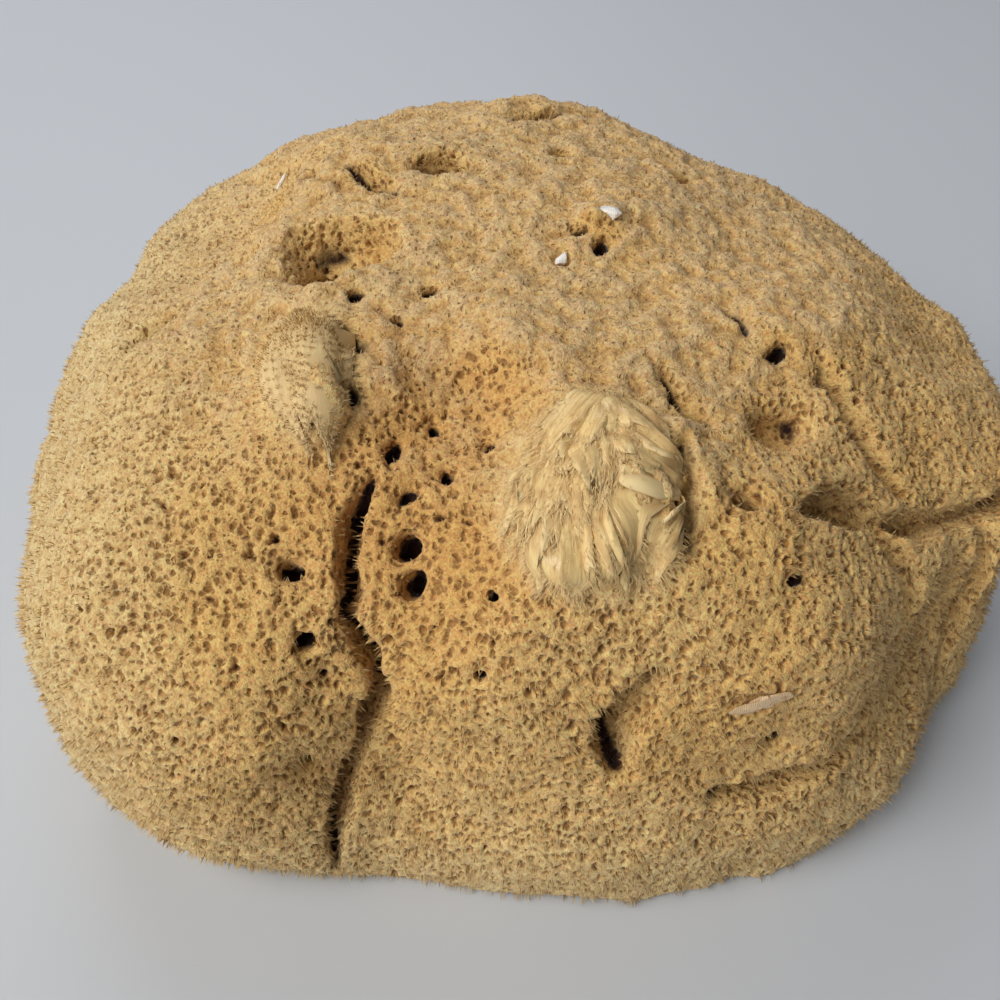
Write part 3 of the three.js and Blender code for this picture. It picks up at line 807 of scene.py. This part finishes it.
def waxy_material():
    """The torn sheets: pale waxy edges with a painted highlight, darker tan patches, and gloss in patches."""
    material, tree, shader, field = finish("waxy torn sheet")
    place = field("rest", "Vector")
    streaks = noise(tree, field("weave", "Vector"), 0.5 * MM, 3.0, 0.6).outputs[0]
    patches = noise(tree, place, 5 * MM, 2.0).outputs[0]
    color = mix(tree, ramp(tree, streaks, 0.35, 0.65), (0.66, 0.43, 0.18, 1), (0.84, 0.63, 0.28, 1))
    color = mix(tree, ramp(tree, patches, 0.5, 0.7, 0.0, 0.7), color, (0.50, 0.28, 0.10, 1))
    # painted highlight: paler along the sheets' torn edges
    color = mix(tree, ramp(tree, field("edge"), 0.0, 1.0, 0.0, 0.7), color, (0.87, 0.69, 0.37, 1))
    color = mix(tree, ramp(tree, field("ear"), 0.0, 1.0, 0.0, 0.6), color, (0.76, 0.57, 0.29, 1))
    tree.links.new(color, shader.inputs["Base Color"])
    bump_up(tree, shader, streaks, 0.8, 0.3 * MM)
    gloss = ramp(tree, patches, 0.35, 0.5, 1.0, 0.0)
    gloss = sum_of(tree, "MULTIPLY", gloss, ramp(tree, field("ear"), 0.0, 1.0, 1.0, 0.0))
    tree.links.new(ramp(tree, gloss, 0.0, 1.0, 0.75, 0.22), shader.inputs["Roughness"])
    shader.inputs["Specular IOR Level"].default_value = 0.5
    return material


def fringe_material():
    """The fine pale fibres along the torn sheets' edges."""
    material, tree, shader, field = finish("torn sheet fringe")
    shade = ramp(tree, field("shade"), 0.2, 1.0)
    tone = noise(tree, field("rest", "Vector"), 3 * MM, 2.0).outputs[0]
    color = mix(tree, shade, (0.84, 0.65, 0.32, 1), (0.68, 0.46, 0.19, 1))
    color = mix(tree, ramp(tree, tone, 0.5, 0.7, 0.0, 0.5), color, (0.66, 0.43, 0.18, 1))
    # painted shade: darker towards the fibres' feet
    color = mix(tree, ramp(tree, field("tip"), 0.0, 1.0, 0.4, 0.0), color, (0.55, 0.33, 0.12, 1))
    tree.links.new(color, shader.inputs["Base Color"])
    shader.inputs["Roughness"].default_value = 0.55
    return material


def shell_material(name, pale, dark, roughness):
    """Broken shell: fine growth lines, cloudy patches and a hard gloss."""
    material, tree, shader, field = finish(name)
    place = field("rest", "Vector")
    inputs = {"Vector": place, "Scale": 1 / (1.1 * MM), "Distortion": 5.0, "Detail": 2.0}
    lines = put(tree, "ShaderNodeTexWave", inputs).outputs[1]
    cloud = noise(tree, place, 1.4 * MM, 3.0).outputs[0]
    color = mix(tree, ramp(tree, lines, 0.2, 0.9, 0.0, 0.5), pale, dark)
    color = mix(tree, ramp(tree, cloud, 0.55, 0.75, 0.0, 0.6), color, dark)
    tree.links.new(color, shader.inputs["Base Color"])
    bump_up(tree, shader, lines, 0.3, 0.1 * MM)
    tree.links.new(ramp(tree, cloud, 0.4, 0.7, roughness, roughness + 0.25), shader.inputs["Roughness"])
    shader.inputs["Coat Weight"].default_value = 0.4
    return material


# Floor, light and camera.

FLOOR_HALF = 3.0  # metres from the middle of the floor to its edge


def lay_floor():
    corners = [(x * FLOOR_HALF, y * FLOOR_HALF, 0) for x, y in ((-1, -1), (1, -1), (1, 1), (-1, 1))]
    mesh = bpy.data.meshes.new("floor")
    mesh.from_pydata(corners, [], [(0, 1, 2, 3)])
    floor = new_object("floor", mesh)
    material, _, shader, _ = finish("pale floor")
    shader.inputs["Base Color"].default_value = (0.60, 0.635, 0.69, 1)
    shader.inputs["Roughness"].default_value = 0.55
    mesh.materials.append(material)


def area_light(name, place, size, power, color=(1, 1, 1), toward=(0, 0, 0.05)):
    light = bpy.data.lights.new(name, "AREA")
    light.size = size
    light.energy = power
    light.color = color
    lamp = new_object(name, light)
    lamp.location = place
    lamp.rotation_euler = (Vector(toward) - Vector(place)).to_track_quat("-Z", "Y").to_euler()


def light_it():
    bpy.context.scene.view_settings.view_transform = "Standard"
    world = bpy.data.worlds.new("studio")
    bpy.context.scene.world = world
    world.use_nodes = True
    sky = world.node_tree.nodes["Background"]
    sky.inputs[0].default_value = (0.96, 0.97, 1.0, 1)
    sky.inputs[1].default_value = 0.15
    area_light("window", (-1.45, -1.0, 2.0), 1.6, 46, (1.0, 0.97, 0.92))
    area_light("room", (-1.5, -1.8, 0.8), 2.0, 20)
    area_light("back of the room", (-0.6, 2.2, 2.0), 2.0, 24, (0.95, 0.97, 1.0), (-0.2, 1.0, 0))


CAMERA_PLACE = (-4.58 * MM, -192.48 * MM, 197 * MM)
LOOK_DOWN = math.radians(41)
LENS = 36.1
SENSOR = 36


def set_camera():
    camera = new_object("camera", bpy.data.cameras.new("camera"))
    camera.data.sensor_width = SENSOR
    camera.data.lens = LENS
    camera.data.clip_start = 5 * MM
    camera.location = CAMERA_PLACE
    camera.rotation_euler = (math.pi / 2 - LOOK_DOWN, 0, 0)
    bpy.context.scene.camera = camera


set_camera()
lay_floor()
light_it()
colours = sponge_group()
skin_finish = sponge_material("sponge skin", colours)
fibre_finish = sponge_material("sponge fibre", colours, fibres=True)
waxy = waxy_material()
white_shell = shell_material("white shell", (0.92, 0.90, 0.86, 1), (0.70, 0.64, 0.54, 1), 0.18)
amber_shell = shell_material("amber shell", (0.74, 0.54, 0.31, 1), (0.45, 0.25, 0.10, 1), 0.2)
skin = grow_pores(describe(fine_skin()))
lay_skin(skin, skin_finish)
grow_coat(skin, fibre_finish)
lay_flaps(skin, waxy, fringe_material())
shard("shell_chip", "shell_chip_crown", white_shell, 1.3, lift=0.5 * MM)
shard("shell_grain", "shell_grain_crown", white_shell, 1.3, lift=0.3 * MM)
shard("spine_sliver_bit", "spine_sliver", white_shell, 1.1)
shard("shell_flakes", "shell_flake_front", amber_shell, 1.5, 7)
